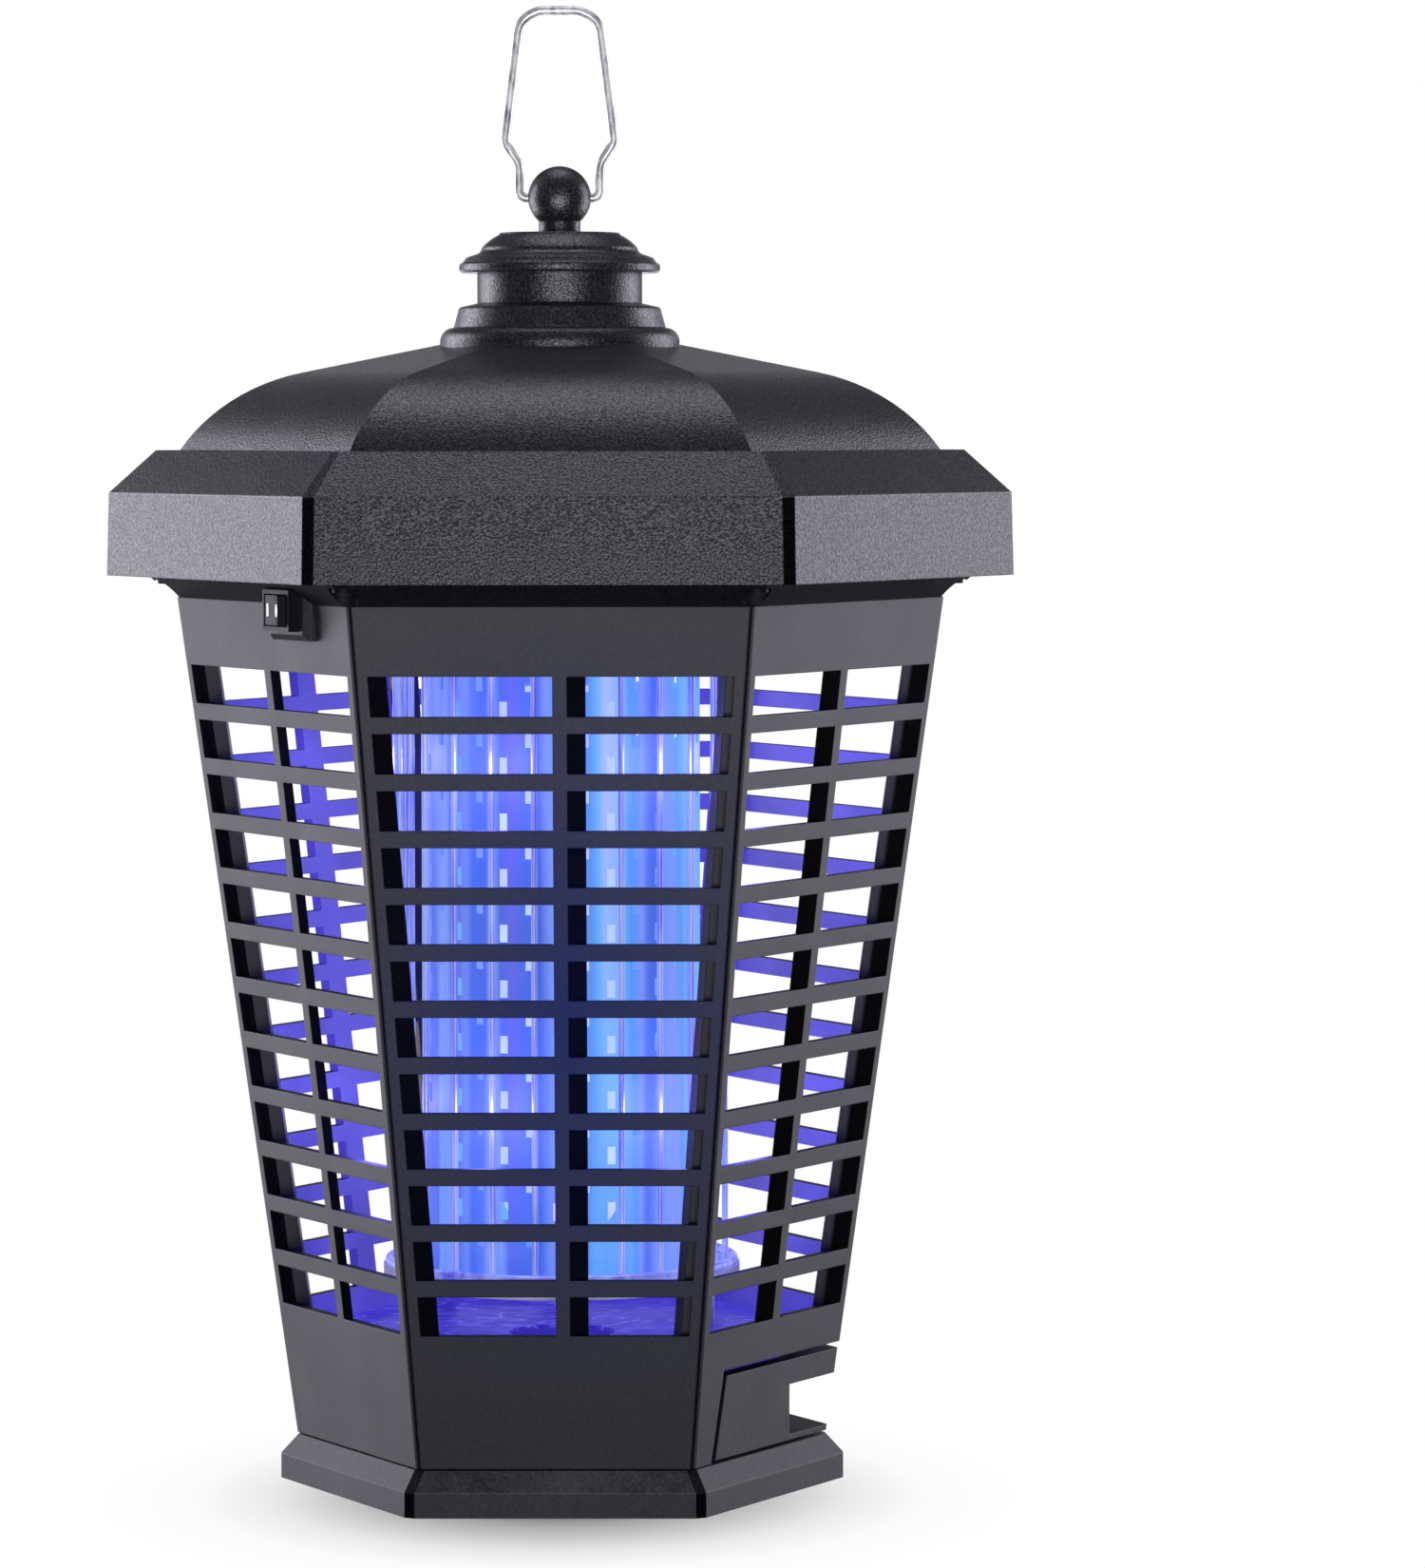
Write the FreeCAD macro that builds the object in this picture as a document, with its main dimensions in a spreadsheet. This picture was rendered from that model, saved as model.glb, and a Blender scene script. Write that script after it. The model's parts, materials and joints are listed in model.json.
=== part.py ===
import FreeCAD, Part
import math
import os
import re
import Sketcher

# Hexagonal lantern-style electric insect killer.
# Frame: origin at the centre of the base on the ground, +Z up, +X towards the tray corner,
# flat faces at front (-Y) and rear (+Y). Millimetres. Hexagon sizes are centre to corner.

Vector = FreeCAD.Vector
Rotation = FreeCAD.Rotation
UP = Vector(0, 0, 1)

SIZES = {
    "base_foot_corner": 75.2, "base_edge_height": 6.4, "base_facet": 3.0, "base_wall": 3.2,
    "cage_low_corner": 70.38, "cage_top_corner": 101.07,
    "cage_low_height": 11.6, "cage_top_height": 232.8,
    "panel_depth": 2.7, "panel_lift": 0.4, "seam_gap": 0.4, "seam_chamfer": 0.5,
    "stile_width": 3.45, "mullion_width": 3.6, "mullion_shift": 2.1,
    "window_top": 215.25, "window_height": 10.1, "window_pitch": 14.4,
    "post_width": 4.0, "post_depth": 3.6, "post_gap": 0.05,
    "tray_half_width": 50.4, "tray_low": 12.4, "tray_top": 34.4, "tray_gap": 1.8, "tray_side_gap": 3.0,
    "tray_recess": 0.6,
    "tray_wall": 2.0, "tray_back": 28.0, "tray_tail": 56.5, "tub_front": 57.6, "tub_floor": 15.0,
    "notch_front": 60.0, "notch_low": 14.0, "notch_top": 27.7,
    "rail_length": 48.0, "rail_width": 1.6,
    "floor_low": 37.6, "floor_top": 40.0, "floor_clip": 11.4, "drop_radius": 14.0,
    "dish_radius": 34.0, "dish_depth": 1.4,
    "insulator_inner": 30.0, "insulator_outer": 47.0, "insulator_depth": 4.0, "leg_radius": 1.9,
    "leg_angle": 2.0,
    "grid_low": 57.3, "grid_top": 228.0, "rod_circle": 43.5, "rod_radius": 0.8, "hoop_radius": 1.1,
    "mesh_circle": 36.0, "mesh_sheet": 0.6, "slot_width": 2.4, "slot_height": 4.6,
    "lamp_leg_reach": 9.5, "lamp_tube_radius": 7.0, "lamp_low": 79.0, "lamp_top": 210.0,
    "lamp_cap_radius": 18.0, "lamp_cap_height": 16.0, "socket_radius": 20.0,
    "lamp_pin_radius": 1.2, "lamp_pin_length": 7.0,
    "soffit_corner": 108.5, "soffit_height": 238.6, "flange_corner": 116.0, "flange_top": 241.6,
    "frame_opening": 92.0, "deck_corner": 96.0, "deck_sheet": 2.5, "deck_hole_radius": 8.0,
    "brim_corner": 120.0, "brim_top_corner": 119.4, "brim_top": 260.3, "brim_facet": 3.5,
    "ledge_corner": 106.6, "ledge_height": 271.4, "shell_wall": 2.6,
    "dome_arc": 44.0, "dome_arc_reach": 48.64, "dome_arc_height": 248.83,
    "dome_edge_angle": 59.0, "dome_slope_angle": 13.0, "dome_flat_reach": 20.0,
    "boss_circle": 103.0, "boss_radius": 4.0, "roof_screw_radius": 1.45,
    "collar_radius": 31.4, "collar_top": 303.3, "collar_round": 3.6,
    "tier_radius": 27.8, "tier_top_radius": 26.6, "tier_height": 308.8, "tier_round": 1.1,
    "neck_radius": 21.6, "neck_top": 317.6, "cap_radius": 26.3, "cap_rim_top": 320.2, "cap_top": 328.1,
    "stud_radius": 2.4, "stud_hole": 2.6, "stud_low": 284.0, "stud_top": 332.5,
    "washer_radius": 7.0, "washer_sheet": 1.2, "nut_corner": 5.0, "nut_height": 4.2,
    "ball_radius": 8.25, "ball_height": 337.26, "ball_neck": 5.45,
    "wire_radius": 1.2, "wire_clearance": 0.08, "bail_pin_start": 4.2, "bail_foot_reach": 10.6,
    "bail_jog_height": 346.0, "bail_wide_reach": 14.35, "bail_wide_height": 351.9,
    "bail_arch_reach": 10.4, "bail_arch_height": 383.7, "bail_crown_reach": 5.2, "bail_top": 386.05,
    "bail_foot_bend": 2.0, "bail_jog_bend": 5.0, "bail_wide_bend": 3.6, "bail_arch_bend": 6.0,
    "bail_crown_bend": 5.0,
    "switch_shift": 20.2, "switch_height": 231.25, "switch_face": 92.8, "switch_depth": 13.0,
    "housing_width": 22.0, "housing_face": 89.8, "housing_low": 223.6, "housing_top": 238.4,
    "housing_bevel": 1.6, "bezel_width": 15.0, "bezel_tall": 10.5, "switch_gap": 0.3,
    "terminal_width": 4.8, "terminal_sheet": 0.8, "terminal_length": 7.0,
    "switch_body_width": 14.0, "switch_body_tall": 9.2, "rocker_well_width": 13.2,
    "rocker_well_tall": 8.2, "rocker_half": 5.7, "rocker_tall": 7.6, "rocker_rise": 4.5,
    "rocker_angle": 10.0, "rocker_sink": 3.6, "rocker_pin": 1.0, "mark_proud": 0.2,
    "mark_reach": 1.6, "mark_stroke": 0.6,
    "gland_height": 224.0, "gland_bore": 3.6, "gland_shank": 5.9, "gland_flange": 8.5,
    "gland_nut_corner": 9.0, "gland_length": 12.0, "gland_cap": 2.4,
    "base_screw_reach": 64.8, "base_screw_radius": 1.3, "base_screw_top": 20.0, "screw_head": 2.8,
    "pilot_clearance": 0.1, "hole_clearance": 0.25,
    "board_rise": 6.0, "board_sheet": 1.6, "board_left": 62.0, "board_right": 6.0, "board_side": 26.0,
    "board_hole_left": 58.0, "board_hole_right": 2.0, "board_hole_side": 22.0,
    "board_screw_radius": 1.5, "board_screw_head": 1.8, "spacer_radius": 3.2, "spacer_bore": 1.7,
    "can_radius": 5.0, "can_height": 13.4, "can_reach": 52.0, "can_pitch": 12.0,
    "coil_left": 30.0, "coil_right": 8.0, "coil_near": 8.0, "coil_far": 20.0, "coil_height": 12.4,
    "choke_left": 24.0, "choke_right": 58.0, "choke_near": 24.0, "choke_far": 2.0, "choke_height": 20.0,
    "block_right": 44.0, "block_near": 10.0, "block_far": 24.0, "block_height": 11.0,
    "lead_radius": 0.9, "lead_bend": 1.8, "lead_level": 248.8, "lead_turn": 14.0, "lead_gap": 0.1,
}

doc = FreeCAD.newDocument("insect_killer")
dims = doc.addObject("Spreadsheet::Sheet", "dims")
for row, (alias, number) in enumerate(SIZES.items(), start=1):
    dims.set(f"A{row}", alias.replace("_", " "))
    dims.set(f"B{row}", str(number))
    dims.setAlias(f"B{row}", alias)
doc.recompute()
NODES = []


# ---------------------------------------------------------------- helpers
def bound(text):
    """Write sheet aliases, the names with an underscore, in the sheet's own form."""
    return re.sub(r"\b([a-z]+(?:_[a-z]+)+)\b", r"dims.\1", text)


def value(text):
    result = scratch.evalExpression(bound(text))
    return float(getattr(result, "Value", result))


def bind(item, **sizes):
    for name, text in sizes.items():
        item.setExpression(name.replace("__", "."), bound(text))
    return item


def node(item, label):
    item.Label = label
    NODES.append(item)
    return item


def turned(item, angle):
    item.Placement = FreeCAD.Placement(Vector(), Rotation(UP, angle))
    return item


def group(name, parts):
    item = doc.addObject("Part::Compound", name)
    item.Links = parts
    return item


def fuse(name, *parts):
    item = doc.addObject("Part::MultiFuse", name)
    item.Shapes = parts
    return item


def common(name, *parts):
    item = doc.addObject("Part::MultiCommon", name)
    item.Shapes = parts
    return item


def cut(name, base, *tools):
    item = doc.addObject("Part::Cut", name)
    item.Base = base
    item.Tool = tools[0] if len(tools) == 1 else group(name + "_tools", list(tools))
    return item


def cylinder(name, radius, low, high, reach="0", angle=0):
    """Upright cylinder, its axis at a reach from the centre line in the direction of angle."""
    item = doc.addObject("Part::Cylinder", name)
    return bind(item, Radius=radius, Height=f"({high}) - ({low})", Placement__Base__z=low,
                Placement__Base__x=f"({reach}) * cos({angle})",
                Placement__Base__y=f"({reach}) * sin({angle})")


def upright(name, radius, low, high, x, y):
    """Upright cylinder at a place in plan."""
    return bind(cylinder(name, radius, low, high), Placement__Base__x=x, Placement__Base__y=y)


def box(name, low, high):
    item = doc.addObject("Part::Box", name)
    spans = [f"({top}) - ({bottom})" for bottom, top in zip(low, high)]
    return bind(item, Length=spans[0], Width=spans[1], Height=spans[2],
                Placement__Base__x=low[0], Placement__Base__y=low[1], Placement__Base__z=low[2])


def arc_between(start, end, radius, side):
    """Arc from start to end; side +1 bulges to the left of the direction of travel, -1 to the right."""
    chord = end.sub(start)
    middle = start.add(end).multiply(0.5)
    sagitta = radius - math.sqrt(max(radius ** 2 - (chord.Length / 2) ** 2, 0))
    across = Vector(-chord.y, chord.x, 0).normalize().multiply(side * sagitta)
    return Part.Arc(start, middle.add(across), end)


def outline(body, name, plane, level, points, closed=True):
    """Sketch on an origin plane through points (x, y) or, where an arc follows, (x, y, radius, side)."""
    sketch = body.newObject("Sketcher::SketchObject", name)
    support = [entry for entry in body.Origin.OriginFeatures if entry.Role == plane][0]
    sketch.AttachmentSupport = [(support, "")]
    sketch.MapMode = "FlatFace"
    bind(sketch, AttachmentOffset__Base__z=level)
    places = [Vector(value(point[0]), value(point[1]), 0) for point in points]
    count = len(points) if closed else len(points) - 1
    for index in range(count):
        start, end = places[index], places[(index + 1) % len(places)]
        if len(points[index]) == 4:
            curve = arc_between(start, end, value(points[index][2]), points[index][3])
        else:
            curve = Part.LineSegment(start, end)
        sketch.addGeometry(curve)
    for index in range(len(points)):
        ends = []
        for edge in (index - 1, index):
            if edge % len(points) < count:
                edge = edge % len(points)
                near = sketch.getPoint(edge, 1).distanceToPoint(places[index])
                ends.append((edge, 1 if near < 1e-5 else 2))
        if len(ends) == 2:
            sketch.addConstraint(Sketcher.Constraint("Coincident", *ends[0], *ends[1]))
        for kind, text in (("DistanceX", points[index][0]), ("DistanceY", points[index][1])):
            place = sketch.addConstraint(Sketcher.Constraint(kind, -1, 1, *ends[-1], value(text)))
            sketch.setExpression(f"Constraints[{place}]", bound(text))
        if len(points[index]) == 4:
            ahead = places[(index + 1) % len(places)]
            half_circle = abs(places[index].distanceToPoint(ahead) / 2 - value(points[index][2])) < 1e-6
            text = points[index][1] if half_circle else points[index][2]
            kind = ("DistanceY", -1, 1, index, 3) if half_circle else ("Radius", index)
            place = sketch.addConstraint(Sketcher.Constraint(*kind, value(text)))
            sketch.setExpression(f"Constraints[{place}]", bound(text))
    return sketch


def new_body(name):
    return doc.addObject("PartDesign::Body", name)


def extruded(name, plane, points, low, high):
    """Body of one outline on an origin plane, padded between two levels along the plane's normal."""
    body = new_body(name)
    sketch = outline(body, name + "_outline", plane, low, points)
    pad = body.newObject("PartDesign::Pad", name + "_pad")
    pad.Profile = sketch
    bind(pad, Length=f"({high}) - ({low})")
    return body


def revolved(name, points):
    """Body of revolution about Z; points are radius and height."""
    body = new_body(name)
    sketch = outline(body, name + "_outline", "XZ_Plane", "0", points)
    turn = body.newObject("PartDesign::Revolution", name + "_turn")
    turn.Profile = sketch
    turn.ReferenceAxis = (sketch, ["V_Axis"])
    turn.Angle = 360
    return body


def lofted(name, sections):
    """Body with flat sides through outlines at several heights; sections are (height, points)."""
    body = new_body(name)
    sketches = [outline(body, f"{name}_section_{index}", "XY_Plane", height, points)
                for index, (height, points) in enumerate(sections)]
    loft = body.newObject("PartDesign::AdditiveLoft", name + "_loft")
    loft.Profile = sketches[0]
    loft.Sections = sketches[1:]
    loft.Ruled = True
    return body


def hexagon(corner, clip="0"):
    """Hexagon outline with corners on the X axis; clip takes that length off both edges at each corner."""
    points = []
    for angle in range(0, 360, 60):
        for side in ((-120, 120) if clip != "0" else (0,)):
            reach = f"({corner}) * %s({angle})" + (f" + ({clip}) * %s({angle + side})" if side else "")
            points.append((reach.replace("%s", "cos"), reach.replace("%s", "sin")))
    return points


def prism(name, levels):
    """Stack of hexagon sections (height, corner) or (height, corner, clip)."""
    return lofted(name, [(level[0], hexagon(*level[1:])) for level in levels])


def cage_corner(height):
    rise = f"(({height}) - cage_low_height) / (cage_top_height - cage_low_height)"
    return f"(cage_low_corner + (cage_top_corner - cage_low_corner) * {rise})"


def cage_face(height):
    return f"({cage_corner(height)} * cos(30))"


def mirrored(points):
    return points + [(f"-({x})", y) for x, y in reversed(points)]


scratch = doc.addObject("Part::Feature", "scratch")


# ---------------------------------------------------------------- base
def base_screw_rods(name, radius, low, high):
    """One upright cylinder under each corner post that stands on the base: all but the tray corner's."""
    return group(name, [cylinder(f"{name}_{index}", radius, low, high, "base_screw_reach", 60 * index)
                        for index in range(1, 6)])


def make_base():
    clip = "base_facet / 1.732"
    solid = prism("base_solid", [("0", "base_foot_corner", clip),
                                 ("base_edge_height", "base_foot_corner", clip),
                                 ("cage_low_height", "cage_low_corner", clip)])
    roof = "cage_low_height - base_wall"
    hollow = prism("base_hollow", [("-1", "base_foot_corner - base_wall"),
                                   (roof, "cage_low_corner - base_wall - 4")])
    bosses = base_screw_rods("base_bosses", "screw_head + 1.8", "1.5", f"{roof} + 0.5")
    shell = fuse("base_shell", cut("base_open", solid, hollow), common("base_boss_trim", solid, bosses))
    sinks = base_screw_rods("base_sinks", "screw_head + 0.3", "-1", "6")
    holes = base_screw_rods("base_holes", "base_screw_radius + hole_clearance", "5", "cage_low_height + 1")
    node(cut("base_drilled", cut("base_sunk", shell, sinks), holes), "base_plinth")
    shanks = base_screw_rods("base_screw_shanks", "base_screw_radius", "6", "base_screw_top")
    heads = base_screw_rods("base_screw_heads", "screw_head", "4", "6")
    node(fuse("base_screw_set", shanks, heads), "base_screws")


# ---------------------------------------------------------------- cage panels
def panel_section(height):
    face = cage_face(height)
    return mirrored([
        (f"{face} * tan(30) - seam_gap - seam_chamfer", f"-{face}"),
        (f"({face} - seam_chamfer) * tan(30) - seam_gap", f"seam_chamfer - {face}"),
        (f"({face} - panel_depth) * tan(30) - seam_gap", f"panel_depth - {face}")])


def column_section(height, left, right, lean):
    """Plan of one window column. The walls on the lean side run 60 degrees off the panel's normal."""
    face = cage_face(height)
    over, under = "2", "panel_depth + 2"
    drift = {-1: (left, right), 0: (None, None), 1: (right, left)}[lean][0]

    def wall(edge, depth, sign):
        return f"{edge} + ({depth}) * {sign} * tan(60)" if edge is drift and lean else edge

    return [(wall(left, over, lean), f"-{face} - {over}"), (wall(right, over, lean), f"-{face} - {over}"),
            (wall(right, under, -lean), f"{under} - {face}"), (wall(left, under, -lean), f"{under} - {face}")]


def make_column(name, side, lean, shift):
    """Left (-1) or right (+1) window column between a stile and the mullion."""
    sections = []
    for height in ("cage_low_height", "cage_top_height"):
        stile = f"({side} * ({cage_face(height)} * tan(30) - stile_width))"
        mullion = f"({shift} + ({side}) * mullion_width / 2)"
        left, right = (stile, mullion) if side < 0 else (mullion, stile)
        sections.append((height, column_section(height, left, right, lean)))
    return lofted(name, sections)


def make_panels():
    """Six separate grille panels: two columns of twelve windows each."""
    rows = []
    for row in range(12):
        top = f"window_top - {row} * window_pitch"
        rows.append(box(f"window_row_{row}", ("-80", "-130", f"{top} - window_height"), ("80", "-30", top)))
    slabs = group("window_rows", rows)
    blank = lofted("panel_blank", [(height, panel_section(height))
                                   for height in ("cage_low_height + panel_lift", "cage_top_height")])
    tray_way = box("tray_way", ("10", "-tray_half_width - tray_side_gap", "cage_low_height - 1"),
                   ("90", "tray_half_width + tray_side_gap", "tray_top + tray_gap"))
    switch_way = switch_opening("switch_way")
    gland_way = gland_rod("gland_way", "gland_shank + 0.1", "-8", "8")
    extra = {"front_right": tray_way, "rear_right": tray_way, "front_left": switch_way, "rear": gland_way}
    layout = [("front", 0, -1), ("front_right", 60, 1), ("rear_right", 120, 0),
              ("rear", 180, -1), ("rear_left", 240, 1), ("front_left", 300, 0)]
    for place, angle, lean in layout:
        shift = "mullion_shift" if place == "front" else "0"
        columns = [make_column(f"{place}_column_{index}", side, lean, shift)
                   for index, side in enumerate((-1, 1))]
        windows = common(f"{place}_windows", group(f"{place}_columns", columns), slabs)
        panel = turned(cut(f"{place}_grille", blank, windows), angle)
        if place in extra:
            panel = cut(f"{place}_opened", panel, extra[place])
        node(panel, "panel_" + place)


def post_section(height):
    """Plan of a corner post on +X, against the inner faces of two panels."""
    corner = f"({cage_corner(height)} - panel_depth / cos(30) - post_gap)"
    half = [(f"{corner} - post_width / 2", "post_width * cos(30)"),
            (f"{corner} - post_width / 2 - post_depth", "post_width * cos(30)")]
    return [(corner, "0")] + half + [(x, f"-{y}") for x, y in reversed(half)]


def make_posts():
    """The tray corner's post starts above the tray opening; a screw holds each of the others to the base."""
    pilots = base_screw_rods("post_pilots", "base_screw_radius + pilot_clearance", "cage_low_height - 1",
                             "base_screw_top + 0.5")
    names = ("tray", "rear_right", "rear_left", "left", "front_left", "front_right")
    for index, name in enumerate(names):
        low = "floor_low" if name == "tray" else "cage_low_height"
        post = turned(lofted(f"post_{index}", [(height, post_section(height))
                                               for height in (low, "cage_top_height")]), 60 * index)
        if name != "tray":
            post = cut(f"post_drilled_{index}", post, pilots)
        node(post, "corner_post_" + name)


# ---------------------------------------------------------------- tray and floor
def tray_section(height):
    nose = f"({cage_corner(height)} - tray_recess / cos(30))"
    half = [(f"{nose} - tray_half_width * tan(30)", "tray_half_width"), ("-tray_back", "tray_half_width")]
    return [(nose, "0")] + half + [("-tray_tail", "0")] + [(x, f"-{y}") for x, y in reversed(half)]


def make_tray():
    """Pull-out catch tray with a V-shaped front round the corner and a finger notch through the corner."""
    outer = lofted("tray_outer", [(height, tray_section(height)) for height in ("tray_low", "tray_top")])
    inner_nose = f"({cage_corner('tray_low')} - (tray_recess + tray_wall) / cos(30))"
    half = [("tub_front", f"({inner_nose} - tub_front) / tan(30)"),
            (f"{inner_nose} - (tray_half_width - tray_wall) * tan(30)", "tray_half_width - tray_wall"),
            ("tray_wall / 2 - tray_back", "tray_half_width - tray_wall")]
    plan = half + [("tray_wall * 1.3 - tray_tail", "0")] + [(x, f"-({y})") for x, y in reversed(half)]
    tub = extruded("tray_tub", "XY_Plane", plan, "tub_floor", "tray_top + 1")
    notch = box("tray_notch", ("notch_front", "-40", "notch_low"), ("90", "40", "notch_top"))
    node(cut("tray_moulding", outer, tub, notch), "catch_tray")
    for side, place in ((-1, "front"), (1, "rear")):
        middle = f"{side} * (tray_half_width + 0.5 + rail_width / 2)"
        rail = box("rail_" + place, ("-rail_length / 2", f"{middle} - rail_width / 2", "cage_low_height"),
                   ("rail_length / 2", f"{middle} + rail_width / 2", "floor_low"))
        node(rail, "tray_rail_" + place)


def make_floor():
    """Floor under the grid: a shallow dish that leads to the drop hole over the tray."""
    corner = f"{cage_corner('floor_low')} - (panel_depth + 0.4) / cos(30)"
    plate = prism("floor_plate", [("floor_low", corner, "floor_clip"), ("floor_top", corner, "floor_clip")])
    dish = revolved("floor_dish", [("0", "floor_low - 1"), ("drop_radius", "floor_low - 1"),
                                   ("drop_radius", "floor_top - dish_depth"), ("dish_radius", "floor_top"),
                                   ("dish_radius", "floor_top + 1"), ("0", "floor_top + 1")])
    node(cut("floor_dished", plate, dish), "cage_floor")


# ---------------------------------------------------------------- high-voltage grid and lamp
def make_insulator(label, ring_low, leg_low, leg_top):
    """Ring that holds one end of both electrodes, with four legs."""
    ring = revolved(label + "_ring", [("insulator_inner", ring_low), ("insulator_outer", ring_low),
                                      ("insulator_outer", f"{ring_low} + insulator_depth"),
                                      ("insulator_inner", f"{ring_low} + insulator_depth")])
    legs = [cylinder(f"{label}_leg_{index}", "leg_radius", leg_low, leg_top,
                     "(insulator_inner + insulator_outer) / 2", value("leg_angle") + 90 * index)
            for index in range(4)]
    node(fuse(label + "_set", ring, *legs), label)


def make_grids():
    """Outer electrode, upright rods inside two hoops, and inner electrode, a slotted sheet tube."""
    rods = [cylinder(f"rod_{index}", "rod_radius", "grid_low", "grid_top", "rod_circle", 15 * index + 7.5)
            for index in range(24)]
    node(group("rod_set", rods), "outer_grid_rods")
    hoops = []
    for index, height in enumerate(("grid_low + hoop_radius", "grid_top - hoop_radius")):
        hoop = doc.addObject("Part::Torus", f"hoop_{index}")
        hoops.append(bind(hoop, Radius1="rod_circle + rod_radius + hoop_radius", Radius2="hoop_radius",
                          Placement__Base__z=height))
    node(group("hoop_set", hoops), "outer_grid_hoops")
    skin = "mesh_circle + mesh_sheet"
    sheet = revolved("mesh_tube", [("mesh_circle", "grid_low"), (skin, "grid_low"),
                                   (skin, "grid_top"), ("mesh_circle", "grid_top")])
    slots = []
    for row in range(22):
        middle = f"window_top + window_pitch / 4 - {row} * window_pitch / 2"
        for column in range(8):
            slot = doc.addObject("Part::Box", f"slot_{row}_{column}")
            bind(slot, Length="2 * mesh_circle + 10", Width="slot_width", Height="slot_height")
            angle = 22.5 * column + 11.25 * (row % 2)
            turned(slot, angle)
            bind(slot, Placement__Base__x=f"slot_width / 2 * sin({angle}) - (mesh_circle + 5) * cos({angle})",
                 Placement__Base__y=f"-slot_width / 2 * cos({angle}) - (mesh_circle + 5) * sin({angle})",
                 Placement__Base__z=f"{middle} - slot_height / 2")
            slots.append(slot)
    stars = [fuse(f"slot_star_{row}", *slots[8 * row:8 * row + 8]) for row in range(22)]
    node(cut("mesh_slotted", sheet, *stars), "inner_grid")


def make_lamp():
    lamp = new_body("lamp")
    spine = outline(lamp, "lamp_spine", "XZ_Plane", "0",
                    [("-lamp_leg_reach", "lamp_top"), ("-lamp_leg_reach", "lamp_low", "lamp_leg_reach", -1),
                     ("lamp_leg_reach", "lamp_low"), ("lamp_leg_reach", "lamp_top")], closed=False)
    ring = lamp.newObject("Sketcher::SketchObject", "lamp_ring")
    support = [entry for entry in lamp.Origin.OriginFeatures if entry.Role == "XY_Plane"][0]
    ring.AttachmentSupport = [(support, "")]
    ring.MapMode = "FlatFace"
    bind(ring, AttachmentOffset__Base__z="lamp_top")
    ring.addGeometry(Part.Circle(Vector(-value("lamp_leg_reach"), 0, 0), UP, value("lamp_tube_radius")))
    ring.addConstraint(Sketcher.Constraint("Radius", 0, value("lamp_tube_radius")))
    ring.setExpression("Constraints[0]", bound("lamp_tube_radius"))
    ring.addConstraint(Sketcher.Constraint("DistanceX", -1, 1, 0, 3, -value("lamp_leg_reach")))
    ring.setExpression("Constraints[1]", bound("-lamp_leg_reach"))
    ring.addConstraint(Sketcher.Constraint("PointOnObject", 0, 3, -1))
    pipe = lamp.newObject("PartDesign::AdditivePipe", "lamp_pipe")
    pipe.Profile = ring
    pipe.Spine = spine
    node(lamp, "lamp_tube")
    node(revolved("lamp_cap_turn", [("0", "lamp_top"), ("lamp_cap_radius - 1", "lamp_top"),
                                    ("lamp_cap_radius", "lamp_top + 1"),
                                    ("lamp_cap_radius", "lamp_top + lamp_cap_height"),
                                    ("0", "lamp_top + lamp_cap_height")]), "lamp_cap")
    joint = "(lamp_top + lamp_cap_height)"
    pins = [cylinder(f"lamp_pin_{index}", "lamp_pin_radius", joint, f"{joint} + lamp_pin_length",
                     "lamp_leg_reach", 90 * index) for index in range(4)]
    node(group("lamp_pin_set", pins), "lamp_pins")
    socket = cylinder("socket_solid", "socket_radius", joint, "flange_top")
    holes = [cylinder(f"socket_hole_{index}", "lamp_pin_radius + pilot_clearance", f"{joint} - 1",
                      f"{joint} + lamp_pin_length + 1", "lamp_leg_reach", 90 * index) for index in range(4)]
    node(cut("socket_drilled", socket, *holes), "lamp_socket")


# ---------------------------------------------------------------- upper frame and roof
def six(name, radius, low, high):
    """Six upright cylinders, one at each roof screw."""
    return group(name, [cylinder(f"{name}_{index}", radius, low, high, "boss_circle", 60 * index)
                        for index in range(6)])


def make_upper_frame():
    soffit = prism("soffit", [("cage_top_height", "cage_top_corner"), ("soffit_height", "soffit_corner")])
    flange = prism("flange", [("soffit_height", "flange_corner"), ("flange_top", "flange_corner")])
    opening = prism("frame_hole", [(height, "frame_opening") for height in ("cage_top_height - 1",
                                                                            "flange_top + 1")])
    sinks = six("roof_screw_sinks", "screw_head + 0.7", "cage_top_height - 1", "soffit_height")
    holes = six("roof_screw_holes", "roof_screw_radius + hole_clearance", "soffit_height - 1",
                "flange_top + 1")
    ring = cut("frame_ring", fuse("frame_solid", soffit, flange), opening)
    notch = switch_box("frame_bezel_way", "bezel_width + switch_gap", "bezel_tall + switch_gap", "-99",
                       "-housing_face")
    ways = group("frame_switch_ways", [switch_opening("frame_switch_way"), notch])
    drilled = cut("frame_drilled", cut("frame_sunk", ring, sinks), holes)
    node(cut("frame_notched", drilled, ways), "upper_frame")
    deck = prism("deck_plate", [("flange_top", "deck_corner"), ("flange_top + deck_sheet", "deck_corner")])
    centre = cylinder("deck_hole", "deck_hole_radius", "flange_top - 1", "flange_top + deck_sheet + 1")
    pilots = board_rods("deck_pilots", "board_screw_radius + pilot_clearance", "flange_top - 1",
                        "flange_top + deck_sheet + 1")
    node(cut("deck_drilled", deck, centre, pilots), "electronics_deck")


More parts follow.
